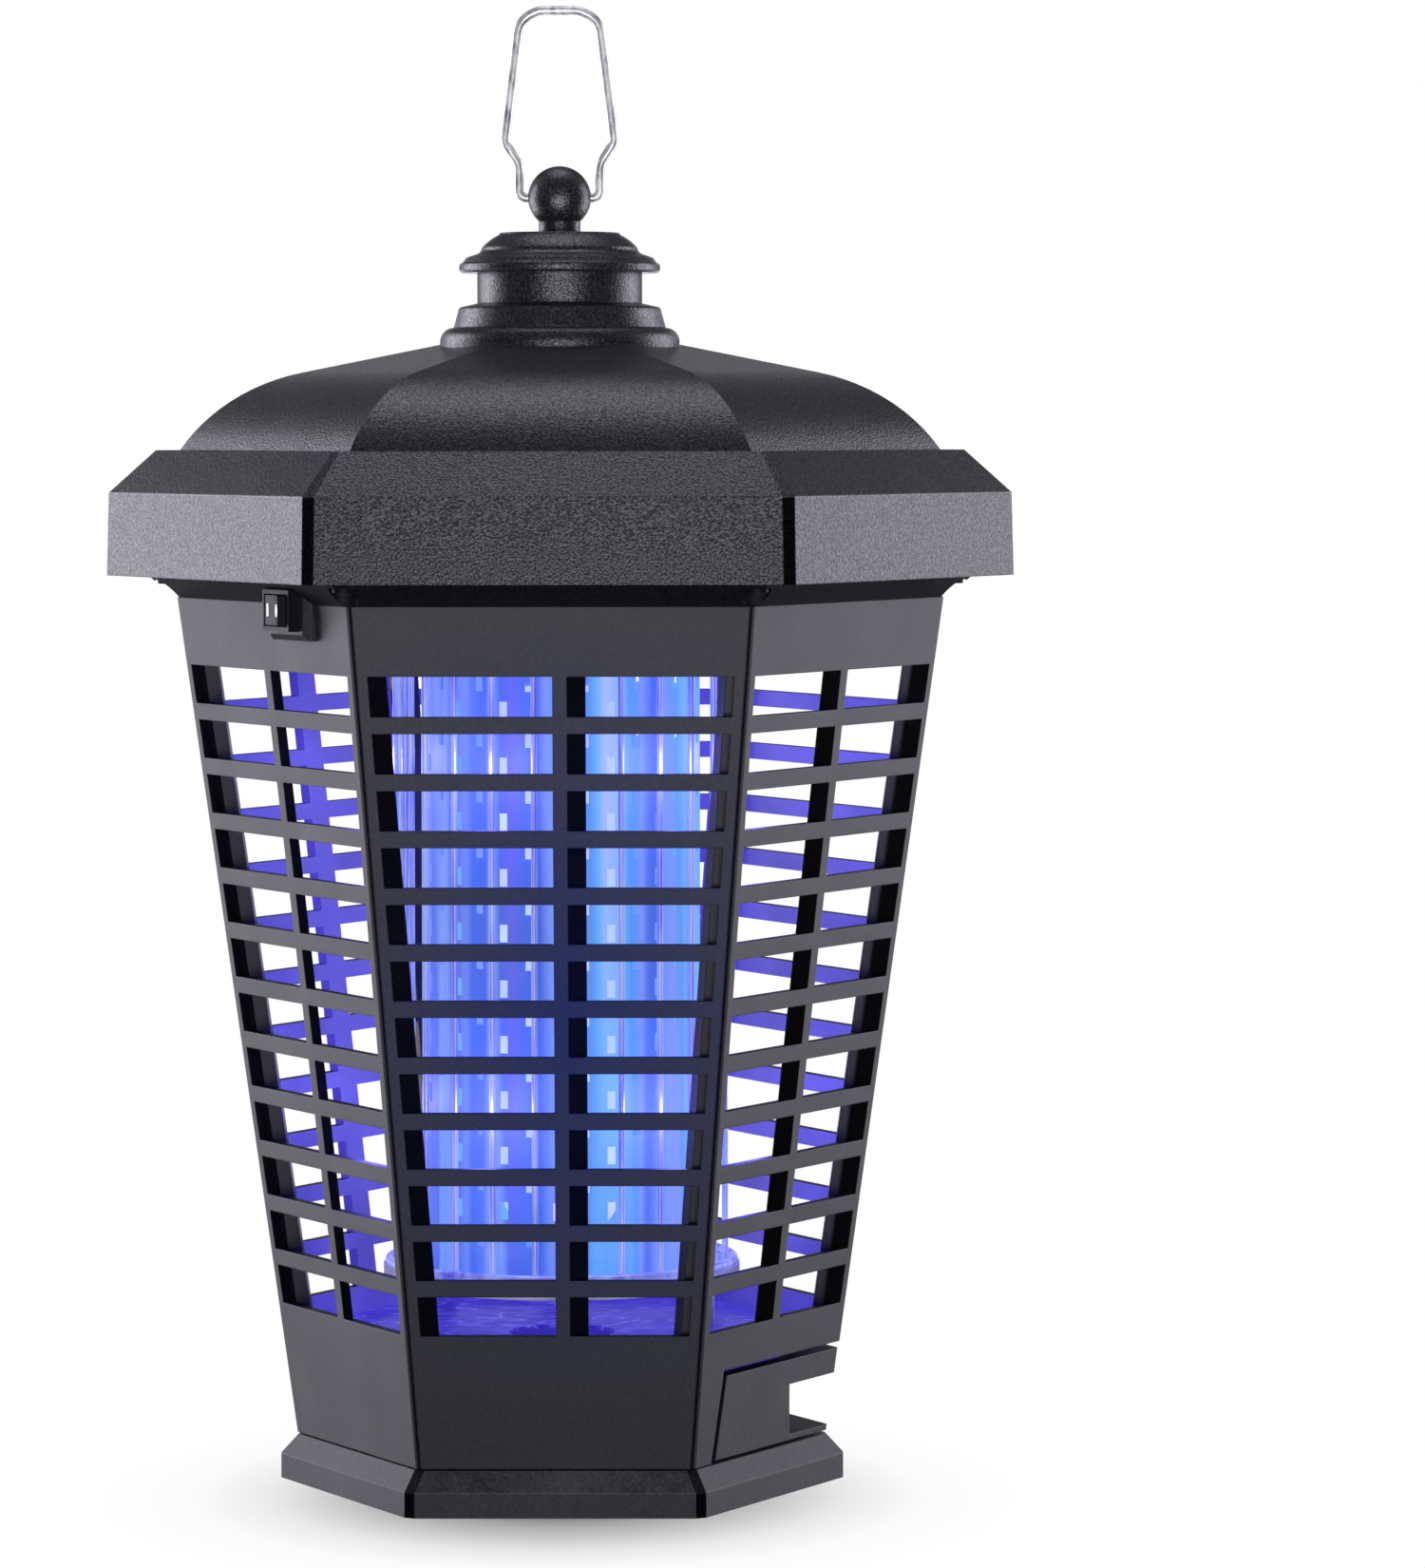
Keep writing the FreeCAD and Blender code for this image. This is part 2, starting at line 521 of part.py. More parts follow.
def dome_profile(name, inset, low, angle):
    """Ridge-to-ridge profile of two opposite roof facets, padded right across and turned by angle."""
    arc = f"(dome_arc - {inset})"
    edge, crest = [(f"(dome_arc_reach + {arc} * sin({slope}))", f"(dome_arc_height + {arc} * cos({slope}))")
                   for slope in ("dome_edge_angle", "dome_slope_angle")]
    top = f"{crest[1]} + ({crest[0]} - dome_flat_reach) * tan(dome_slope_angle)"
    points = [(edge[0], low), (edge[0], edge[1], arc, -1), (crest[0], crest[1]), ("dome_flat_reach", top),
              ("-dome_flat_reach", top), (f"-{crest[0]}", crest[1], arc, -1), (f"-{edge[0]}", edge[1]),
              (f"-{edge[0]}", low)]
    return turned(extruded(name, "YZ_Plane", points, "-brim_corner", "brim_corner"), angle)


def make_dome(name, inset, low):
    return common(name, *[dome_profile(f"{name}_{angle}", inset, low, angle) for angle in (0, 60, 120)])


def make_roof():
    facet = "brim_facet / 1.732"
    brim = prism("brim", [("soffit_height", "brim_corner", facet), ("brim_top", "brim_top_corner", facet),
                          ("ledge_height", "ledge_corner", "brim_facet / 3")])
    brim_hollow = prism("brim_hollow", [("soffit_height - 1", "brim_corner - shell_wall / cos(30)"),
                                        ("brim_top - shell_wall / 2",
                                         "brim_top_corner - shell_wall / cos(30)"),
                                        ("ledge_height - shell_wall", "ledge_corner - shell_wall / 2")])
    collar = revolved("roof_collar", [("0", "ledge_height + 20"), ("collar_radius", "ledge_height + 20"),
                                      ("collar_radius", "collar_top - collar_round", "collar_round", -1),
                                      ("collar_radius - collar_round", "collar_top"), ("0", "collar_top")])
    outer = fuse("roof_outer", brim, make_dome("dome_outer", "0", "ledge_height - 2"), collar)
    inner = fuse("roof_inner", brim_hollow, make_dome("dome_inner", "shell_wall", "ledge_height - 12"))
    bosses = six("roof_bosses", "boss_radius", "flange_top", "ledge_height - 1")
    shell = fuse("roof_bossed", cut("roof_hollowed", outer, inner), bosses)
    pilots = six("roof_pilots", "roof_screw_radius + pilot_clearance", "flange_top - 1", "flange_top + 13")
    stud_hole = cylinder("roof_stud_hole", "stud_hole", "ledge_height", "collar_top + 1")
    node(cut("roof_drilled", shell, pilots, stud_hole), "roof_shell")
    shanks = six("roof_screw_shanks", "roof_screw_radius", "soffit_height - 0.5", "flange_top + 12")
    heads = six("roof_screw_heads", "screw_head", "soffit_height - 2.2", "soffit_height")
    slots = group("roof_screw_slots", [
        turned(box(f"roof_screw_slot_{index}", ("boss_circle - 2", "-0.4", "soffit_height - 3"),
                   ("boss_circle + 2", "0.4", "soffit_height - 1.4")), 60 * index) for index in range(6)])
    node(cut("roof_screw_set", fuse("roof_screw_blanks", shanks, heads), slots), "roof_screws")


def make_finial():
    node(revolved("finial_base_turn", [
        ("stud_hole", "collar_top"), ("tier_radius", "collar_top"),
        ("tier_top_radius", "tier_height - tier_round", "tier_round", -1),
        ("tier_top_radius - tier_round", "tier_height"), ("neck_radius", "tier_height + 0.9"),
        ("neck_radius", "neck_top"), ("stud_hole", "neck_top")]), "finial_base")
    node(revolved("finial_cap_turn", [
        ("stud_hole", "neck_top"), ("cap_radius - 0.6", "neck_top"), ("cap_radius", "neck_top + 0.6"),
        ("cap_radius", "cap_rim_top - 0.8", "0.8", -1), ("cap_radius - 0.8", "cap_rim_top"),
        ("cap_radius - 1.8", "cap_rim_top + 1.4"), ("cap_radius - 4.7", "cap_rim_top + 2.4", "1.9", 1),
        ("cap_radius - 5.9", "cap_rim_top + 4", "14", -1), ("cap_radius - 10.4", "cap_top - 0.5", "0.5", -1),
        ("cap_radius - 10.9", "cap_top"), ("stud_hole", "cap_top")]), "finial_cap")
    ball = revolved("ball_turn", [
        ("0", "cap_top"), ("ball_neck", "cap_top"),
        ("ball_neck", "ball_height - sqrt(ball_radius ^ 2 - ball_neck ^ 2)", "ball_radius", -1),
        ("ball_radius", "ball_height", "ball_radius", -1), ("0", "ball_height + ball_radius")])
    pivot = doc.addObject("Part::Cylinder", "ball_pivot")
    pivot.Placement = FreeCAD.Placement(Vector(), Rotation(Vector(0, 1, 0), 90))
    bind(pivot, Radius="wire_radius + wire_clearance", Height="4 * ball_radius",
         Placement__Base__x="-2 * ball_radius", Placement__Base__z="ball_height")
    socket = cylinder("ball_socket", "stud_radius + 0.05", "cap_top - 1", "stud_top + 0.3")
    node(cut("ball_drilled", cut("ball_bored", ball, pivot), socket), "hanging_ball")
    node(cylinder("stud", "stud_radius", "stud_low", "stud_top"), "finial_stud")
    ceiling = ("dome_arc_height + (dome_arc - shell_wall) * cos(dome_slope_angle)"
               " + (dome_arc_reach + (dome_arc - shell_wall) * sin(dome_slope_angle) - dome_flat_reach)"
               " * tan(dome_slope_angle)")
    seat = f"{ceiling} - washer_sheet"
    washer = cylinder("washer_disc", "washer_radius", seat, ceiling)
    washer_hole = cylinder("washer_hole", "stud_hole", "stud_low", "collar_top")
    node(cut("washer_ring", washer, washer_hole), "finial_washer")
    nut = prism("nut_blank", [(f"{seat} - nut_height", "nut_corner"), (seat, "nut_corner")])
    nut_hole = cylinder("nut_hole", "stud_radius + 0.05", "stud_low", "collar_top")
    node(cut("nut_ring", nut, nut_hole), "finial_nut")


# ---------------------------------------------------------------- bent wire pieces
def bent_wire(points, bends, radius):
    """Round wire through points, its bends rounded by tangent arcs of the given radii."""
    edges = []
    start = points[0]
    for here, ahead, bend in zip(points[1:-1], points[2:], bends):
        back = start.sub(here).normalize()
        forth = ahead.sub(here).normalize()
        half = back.getAngle(forth) / 2
        run = bend / math.tan(half)
        first = here.add(Vector(back).multiply(run))
        last = here.add(Vector(forth).multiply(run))
        inward = back.add(forth).normalize().multiply(bend / math.sin(half) - bend)
        edges.append(Part.makeLine(start, first))
        edges.append(Part.Arc(first, here.add(inward), last).toShape())
        start = last
    edges.append(Part.makeLine(start, points[-1]))
    spine = Part.Wire(edges)
    profile = Part.Wire(Part.makeCircle(radius, points[0], points[1].sub(points[0])))
    return spine.makePipeShell([profile], True, False)


def make_bail():
    """Wire hanging loop: two inward pins in the ball, a jog outwards, tapering legs and an arched top."""
    rise = [("bail_pin_start", "ball_height"), ("bail_foot_reach", "ball_height"),
            ("bail_foot_reach", "bail_jog_height"), ("bail_wide_reach", "bail_wide_height"),
            ("bail_arch_reach", "bail_arch_height"), ("bail_crown_reach", "bail_top")]
    right = [Vector(value(reach), 0, value(height)) for reach, height in rise]
    left = [Vector(-point.x, 0, point.z) for point in reversed(right)]
    bends = [value(f"bail_{place}_bend") for place in ("foot", "jog", "wide", "arch", "crown")]
    item = doc.addObject("Part::Feature", "bail_wire")
    item.Shape = bent_wire(right + left, bends + bends[::-1], value("wire_radius"))
    node(item, "hanging_bail")


# ---------------------------------------------------------------- switch on the front left panel
SWITCH_TURN = -60


def switch_box(name, width, tall, outer, inner):
    """Box centred on the switch, from outer to inner along the panel's normal."""
    item = box(name, (f"switch_shift - ({width}) / 2", outer, f"switch_height - ({tall}) / 2"),
               (f"switch_shift + ({width}) / 2", inner, f"switch_height + ({tall}) / 2"))
    return turned(group(name + "_turned", [item]), SWITCH_TURN)


def switch_opening(name):
    """Way for the switch body through the housing and what lies behind it."""
    return switch_box(name, "switch_body_width + switch_gap", "switch_body_tall + switch_gap", "-99", "-60")


def make_switch():
    plain = box("housing_block", ("switch_shift - housing_width / 2", "-housing_face", "housing_low"),
                ("switch_shift + housing_width / 2", "-80", "housing_top"))
    bevel = doc.addObject("Part::Chamfer", "housing_bevel")
    bevel.Base = plain
    doc.recompute()
    face = -value("housing_face")
    edges = [index + 1 for index, edge in enumerate(plain.Shape.Edges)
             if all(abs(vertex.Y - face) < 1e-6 for vertex in edge.Vertexes)]
    width = value("housing_bevel")
    bevel.Edges = [(index, width, width) for index in edges]
    block = turned(group("housing_turned", [bevel]), SWITCH_TURN)
    backing = prism("housing_backing", [("cage_low_height", "cage_low_corner"),
                                        ("cage_top_height", "cage_top_corner"),
                                        ("soffit_height", "soffit_corner")])
    node(cut("housing_opened", cut("housing_trimmed", block, backing), switch_opening("housing_way")),
         "switch_housing")
    bezel = switch_box("bezel", "bezel_width", "bezel_tall", "-switch_face", "-housing_face")
    body = switch_box("switch_block", "switch_body_width", "switch_body_tall", "-housing_face",
                      "switch_depth - housing_face")
    well = switch_box("rocker_well", "rocker_well_width", "rocker_well_tall", "-switch_face - 1",
                      "switch_depth - housing_face - 4")
    pivot_hole = switch_rod("rocker_pivot_hole", "rocker_pin + 0.06", "switch_body_tall / 2 + 0.1")
    node(cut("switch_shell", cut("switch_hollow", fuse("switch_solid", bezel, body), well), pivot_hole),
         "switch_body")
    terminal = switch_box("terminal_blade", "terminal_width", "terminal_sheet",
                          "switch_depth - housing_face", "switch_depth - housing_face + terminal_length")
    node(terminal, "switch_terminal")


def switch_rod(name, radius, half):
    """Upright rod on the rocker's pivot axis."""
    rod = upright(name, radius, f"switch_height - ({half})", f"switch_height + ({half})", "switch_shift",
                  "rocker_sink - switch_face")
    return turned(group(name + "_turned", [rod]), SWITCH_TURN)


def rocker_place():
    """Placement of the rocker at rest: pressed in on its left, the on side."""
    pivot = Vector(value("switch_shift"), value("rocker_sink - switch_face"), value("switch_height"))
    swing = Rotation(UP, SWITCH_TURN)
    return FreeCAD.Placement(swing.multVec(pivot), Rotation(UP, SWITCH_TURN - value("rocker_angle")))


def make_rocker():
    middle = "rocker_half * tan(rocker_angle) - rocker_rise"
    plan = [("-rocker_half", "-rocker_rise"), ("0", middle), ("rocker_half", "-rocker_rise"),
            ("rocker_half", "-0.5"), ("rocker_half / 3", "3.5"), ("-rocker_half / 3", "3.5"),
            ("-rocker_half", "-0.5")]
    block = extruded("rocker_block", "XY_Plane", plan, "-rocker_tall / 2", "rocker_tall / 2")
    pin = cylinder("rocker_pin_rod", "rocker_pin", "-switch_body_tall / 2", "switch_body_tall / 2")
    rocker = fuse("rocker_solid", block, pin)
    rocker.Placement = rocker_place()
    node(rocker, "switch_rocker")
    reach = value("rocker_half * 0.7")
    depth = value(f"{middle} - rocker_half * 0.7 * tan(rocker_angle)")
    bar = box("mark_bar", ("-mark_stroke / 2", "-mark_proud", "-mark_reach"),
              ("mark_stroke / 2", "0", "mark_reach"))
    ring = cut("mark_ring", cylinder("mark_disc", "mark_reach", "0", "mark_proud"),
               cylinder("mark_hole", "mark_reach - mark_stroke", "-1", "1"))
    lay = FreeCAD.Placement(Vector(), Rotation(Vector(1, 0, 0), 90))
    for item, side, own, label in ((bar, -1, FreeCAD.Placement(), "switch_mark_on"),
                                   (ring, 1, lay, "switch_mark_off")):
        facet = FreeCAD.Placement(Vector(side * reach, depth, 0), Rotation(UP, -side * value("rocker_angle")))
        holder = group(label + "_laid", [item])
        holder.Placement = rocker_place().multiply(facet).multiply(own)
        node(holder, label)


# ---------------------------------------------------------------- cord inlet in the rear panel
def gland_place():
    """Placement on the rear panel's outer face with local Z along its outward normal."""
    slope = value("(cage_top_corner - cage_low_corner) * cos(30) / (cage_top_height - cage_low_height)")
    normal = Vector(0, 1, -slope).normalize()
    return FreeCAD.Placement(Vector(0, value(cage_face("gland_height")), value("gland_height")),
                             Rotation(UP, normal))


def gland_rod(name, radius, low, high):
    holder = group(name + "_laid", [cylinder(name, radius, low, high)])
    holder.Placement = gland_place()
    return holder


def make_gland():
    bush = revolved("gland_bush", [
        ("gland_bore", "gland_cap - gland_length"), ("gland_shank", "gland_cap - gland_length"),
        ("gland_shank", "0"), ("gland_flange", "0"), ("gland_flange", "gland_cap - 1", "1", -1),
        ("gland_flange - 1", "gland_cap"), ("gland_bore", "gland_cap")])
    bush.Placement = gland_place()
    node(bush, "cord_gland")
    nut = prism("gland_nut_blank", [(height, "gland_nut_corner") for height in ("-panel_depth - 3.6",
                                                                                "-panel_depth")])
    ring = cut("gland_nut_ring", nut, cylinder("gland_nut_hole", "gland_shank + 0.05", "-12", "2"))
    ring.Placement = gland_place()
    node(ring, "gland_nut")


# ---------------------------------------------------------------- driver electronics in the roof
def board_rods(name, radius, low, high):
    """Four upright cylinders, one at each board screw."""
    spots = [(x, y) for x in ("-board_hole_left", "board_hole_right")
             for y in ("-board_hole_side", "board_hole_side")]
    return group(name, [upright(f"{name}_{index}", radius, low, high, *spot)
                        for index, spot in enumerate(spots)])


def make_electronics():
    deck = "(flange_top + deck_sheet)"
    board = f"({deck} + board_rise)"
    face = f"({board} + board_sheet)"
    plate = box("board_plate", ("-board_left", "-board_side", board), ("board_right", "board_side", face))
    holes = board_rods("board_holes", "board_screw_radius + hole_clearance", f"{board} - 1", f"{face} + 1")
    node(cut("board_drilled", plate, holes), "circuit_board")
    tubes = board_rods("spacer_tubes", "spacer_radius", deck, board)
    bores = board_rods("spacer_bores", "spacer_bore", f"{deck} - 1", f"{board} + 1")
    node(cut("spacer_set", tubes, bores), "board_spacers")
    shanks = board_rods("board_screw_shanks", "board_screw_radius", "flange_top", face)
    heads = board_rods("board_screw_heads", "screw_head", face, f"{face} + board_screw_head")
    node(fuse("board_screw_set", shanks, heads), "board_screws")
    cans = [cylinder(f"can_{index}", "can_radius", face, f"{face} + can_height",
                     f"can_reach - {index} * can_pitch", 180) for index in range(4)]
    node(group("can_set", cans), "multiplier_capacitors")
    node(box("coil_block", ("-coil_left", "coil_near", face),
             ("-coil_right", "coil_far", f"{face} + coil_height")), "step_up_transformer")
    node(box("choke_block", ("choke_left", "-choke_near", deck),
             ("choke_right", "-choke_far", f"{deck} + choke_height")), "lamp_choke")
    node(box("terminal_housing", ("choke_left", "block_near", deck),
             ("block_right", "block_far", f"{deck} + block_height")), "terminal_block")


def make_leads():
    """Two internal leads: lamp socket to choke, and circuit board to terminal block."""
    level, reach = value("lead_level"), value("choke_left - lead_gap")
    choke_line = -value("(choke_near + choke_far) / 2")
    block_line = value("(block_near + block_far) / 2")
    board_level = value("flange_top + deck_sheet + board_rise + board_sheet / 2")
    turn = value("lead_turn")
    routes = {
        "lamp_lead": [(0, 0, value("flange_top")), (0, 0, level), (turn, choke_line, level),
                      (reach, choke_line, level)],
        "board_lead": [(value("board_right + lead_gap"), block_line, board_level),
                       (turn, block_line, board_level), (turn + value("2 * lead_bend"), block_line, level),
                       (reach, block_line, level)]}
    for label, points in routes.items():
        bends = [value("lead_bend")] * (len(points) - 2)
        item = doc.addObject("Part::Feature", label + "_wire")
        item.Shape = bent_wire([Vector(*point) for point in points], bends, value("lead_radius"))
        node(item, label)


# ---------------------------------------------------------------- build and write
make_base()
make_panels()
make_posts()
make_tray()
make_floor()
make_insulator("grid_bottom_insulator", "grid_low - insulator_depth", "floor_top",
               "grid_low - insulator_depth + 1")
make_insulator("grid_top_insulator", "grid_top", "grid_top + insulator_depth - 1", "flange_top")
make_grids()
make_lamp()
make_upper_frame()
make_roof()
make_finial()
make_bail()
make_switch()
make_rocker()
make_gland()
make_electronics()
make_leads()
doc.recompute()

faults = [item.Name for item in doc.Objects if "Invalid" in item.State or "Error" in item.State]
for item in NODES:
    if item.Shape.isNull() or not item.Shape.isValid() or not item.Shape.Solids:
        faults.append(item.Label)
if faults:
    raise RuntimeError("failed objects: " + ", ".join(faults))

os.makedirs("parts", exist_ok=True)
for item in NODES:
    item.Shape.exportStep(f"parts/{item.Label}.step")
print(len(NODES), "nodes")
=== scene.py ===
import json
import math

import bpy
from mathutils import Matrix, Vector


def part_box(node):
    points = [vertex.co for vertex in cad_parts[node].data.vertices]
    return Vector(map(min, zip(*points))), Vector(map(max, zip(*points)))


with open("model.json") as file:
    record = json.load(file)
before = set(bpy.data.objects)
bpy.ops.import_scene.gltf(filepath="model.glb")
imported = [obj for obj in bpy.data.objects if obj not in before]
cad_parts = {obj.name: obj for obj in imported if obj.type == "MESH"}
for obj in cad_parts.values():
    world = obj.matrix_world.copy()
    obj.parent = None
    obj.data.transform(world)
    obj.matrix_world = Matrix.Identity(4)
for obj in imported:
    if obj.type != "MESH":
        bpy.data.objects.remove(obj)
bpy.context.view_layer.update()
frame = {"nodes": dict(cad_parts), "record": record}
NODES = frame["nodes"]

# Studio boxes: place, target, width and height in metres, and strength in watts.
BOXES = {
    "left_box": ((-1.25, 0.72, 0.25), (0, 0, 0.2), 0.9, 1.5, 16),
    "right_box": ((1.25, 0.72, 0.25), (0, 0, 0.2), 0.9, 1.5, 12.5),
    "top_box": ((0, 0.25, 1.5), (0, 0, 0.25), 0.9, 0.7, 2.7),
    "back_box": ((0, 2.5, 0.7), (0, 0, 0.25), 2.4, 0.5, 3),
    "front_low": ((0.1, -2.4, -0.35), (0, 0, 0.1), 1.8, 1.3, 27),
    "back_low": ((-0.1, 2.4, -0.35), (0, 0, 0.1), 1.8, 1.3, 16),
}
BOX_COLOUR = (0.89, 0.875, 1.0)
SKY_STRENGTH = 0.1

# Violet glow of the lamp in the gap between the two grids: heights, ring radius and first angle.
GLOW_HEIGHTS = (0.1, 0.19)
GLOW_RADIUS = 0.0495
GLOW_ANGLE = math.radians(7.5)
GLOW_COLOUR = (0.16, 0.13, 1.0)
GLOW_STRENGTH = 0.05

# The floor, and the oval that its painted shadow fades out over.
FLOOR_HALF = 6.0
FLOOR_LEVEL = -0.0002
SHADE_HALF_WIDTH, SHADE_HALF_DEPTH, SHADE_FORWARD = 0.078, 0.092, 0.024

# Textures, in metres: softened edge and its painted highlight, painted blue glow on the front panel, drop
# hole's rim with painted lamp light, top of the brim's face.
EDGE = 0.0006
HAZE_HEIGHT, HAZE_REACH = 0.13, 0.1
HAZE_MIDDLE, HAZE_WIDTH = 0.004, 0.06
RIM_REACH = 0.02
BRIM_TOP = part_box("upper_frame")[1][2] + 0.0185


# ------------------------------------------------------------------ camera, light and floor
def add_camera():
    """A long lens a little to the right of the front, level with the roof."""
    lens = bpy.data.cameras.new("camera")
    lens.sensor_fit = "VERTICAL"
    lens.sensor_width = lens.sensor_height = 36.0
    lens.lens = 145.71
    lens.clip_start, lens.clip_end = 0.05, 50.0
    camera = bpy.data.objects.new("camera", lens)
    bpy.context.collection.objects.link(camera)
    yaw, pitch, roll = math.radians(-0.263), math.radians(-3.288), math.radians(0.049)
    aim = Matrix.Rotation(-yaw, 3, "Z") @ Matrix.Rotation(math.radians(90) + pitch, 3, "X")
    camera.rotation_euler = (aim @ Matrix.Rotation(-roll, 3, "Z")).to_euler()
    camera.location = (0.04757, -1.6670, 0.27934)
    bpy.context.scene.camera = camera


def add_area(name, place, target, width, height, strength):
    light = bpy.data.lights.new(name, "AREA")
    light.shape = "RECTANGLE"
    light.size, light.size_y = width, height
    light.energy = strength
    light.color = BOX_COLOUR
    item = bpy.data.objects.new(name, light)
    item.location = place
    item.rotation_euler = (Vector(target) - Vector(place)).to_track_quat("-Z", "Y").to_euler()
    item.visible_camera = False
    bpy.context.collection.objects.link(item)


def add_world():
    """White to the camera; as a light, a dim sky over a dark ground."""
    world = bpy.data.worlds.new("world")
    bpy.context.scene.world = world
    world.use_nodes = True
    nodes, links = world.node_tree.nodes, world.node_tree.links
    nodes.clear()
    shown, ambient = nodes.new("ShaderNodeBackground"), nodes.new("ShaderNodeBackground")
    shown.inputs["Color"].default_value = (1, 1, 1, 1)
    ambient.inputs["Color"].default_value = (0.93, 0.95, 1, 1)
    split = nodes.new("ShaderNodeSeparateXYZ")
    rise = nodes.new("ShaderNodeMapRange")
    rise.inputs["From Min"].default_value, rise.inputs["From Max"].default_value = -0.04, 0.3
    rise.inputs["To Min"].default_value, rise.inputs["To Max"].default_value = 0.0, SKY_STRENGTH
    links.new(nodes.new("ShaderNodeTexCoord").outputs["Generated"], split.inputs[0])
    links.new(split.outputs["Z"], rise.inputs["Value"])
    links.new(rise.outputs["Result"], ambient.inputs["Strength"])
    path, mix = nodes.new("ShaderNodeLightPath"), nodes.new("ShaderNodeMixShader")
    output = nodes.new("ShaderNodeOutputWorld")
    links.new(path.outputs["Is Camera Ray"], mix.inputs[0])
    links.new(ambient.outputs[0], mix.inputs[1])
    links.new(shown.outputs[0], mix.inputs[2])
    links.new(mix.outputs[0], output.inputs["Surface"])


def add_floor():
    """Pale floor with a painted shadow: its emission is darker in an oval round the object; it throws no
    light back up at the object.
    """
    mesh = bpy.data.meshes.new("studio_floor")
    signs = ((-1, -1), (1, -1), (1, 1), (-1, 1))
    mesh.from_pydata([(x * FLOOR_HALF, y * FLOOR_HALF, FLOOR_LEVEL) for x, y in signs], [], [(0, 1, 2, 3)])
    floor = bpy.data.objects.new("studio_floor", mesh)
    bpy.context.collection.objects.link(floor)
    surface = Surface("studio_floor", (0.0, 0.0, 0.0), 0.9, specular=0.0)
    across = surface.math("DIVIDE", surface.axis("X"), SHADE_HALF_WIDTH)
    along = surface.math("DIVIDE", surface.math("ADD", surface.axis("Y"), SHADE_FORWARD), SHADE_HALF_DEPTH)
    far = surface.math("SQRT", surface.squares(across, along))
    # Painted shadow: the floor's emission falls off towards the middle of the oval.
    shade = surface.ramp(
        surface.math("MULTIPLY", far, 0.5), (0.2, (0.2, 0.2, 0.205)), (0.27, (0.38, 0.38, 0.385)),
        (0.36, (0.56, 0.56, 0.565)), (0.48, (0.82, 0.82, 0.825)), (0.6, (0.96, 0.96, 0.963)),
        (0.78, (1, 1, 1)))
    surface.feed("Emission Color", shade)
    surface.set("Emission Strength", 1.0)
    mesh.materials.append(surface.material)
    floor.visible_diffuse = False
    floor.visible_glossy = False
    floor.visible_shadow = False


def add_lights():
    for name, (place, target, width, height, strength) in BOXES.items():
        add_area(name, place, target, width, height, strength)
    for turn in range(6):
        for level, height in enumerate(GLOW_HEIGHTS):
            glow = bpy.data.lights.new(f"tube_glow_{turn}_{level}", "POINT")
            glow.energy = GLOW_STRENGTH
            glow.color = GLOW_COLOUR
            glow.shadow_soft_size = 0.004
            item = bpy.data.objects.new(glow.name, glow)
            angle = math.radians(60 * turn) + GLOW_ANGLE
            item.location = (GLOW_RADIUS * math.cos(angle), GLOW_RADIUS * math.sin(angle), height)
            item.visible_camera = False
            bpy.context.collection.objects.link(item)


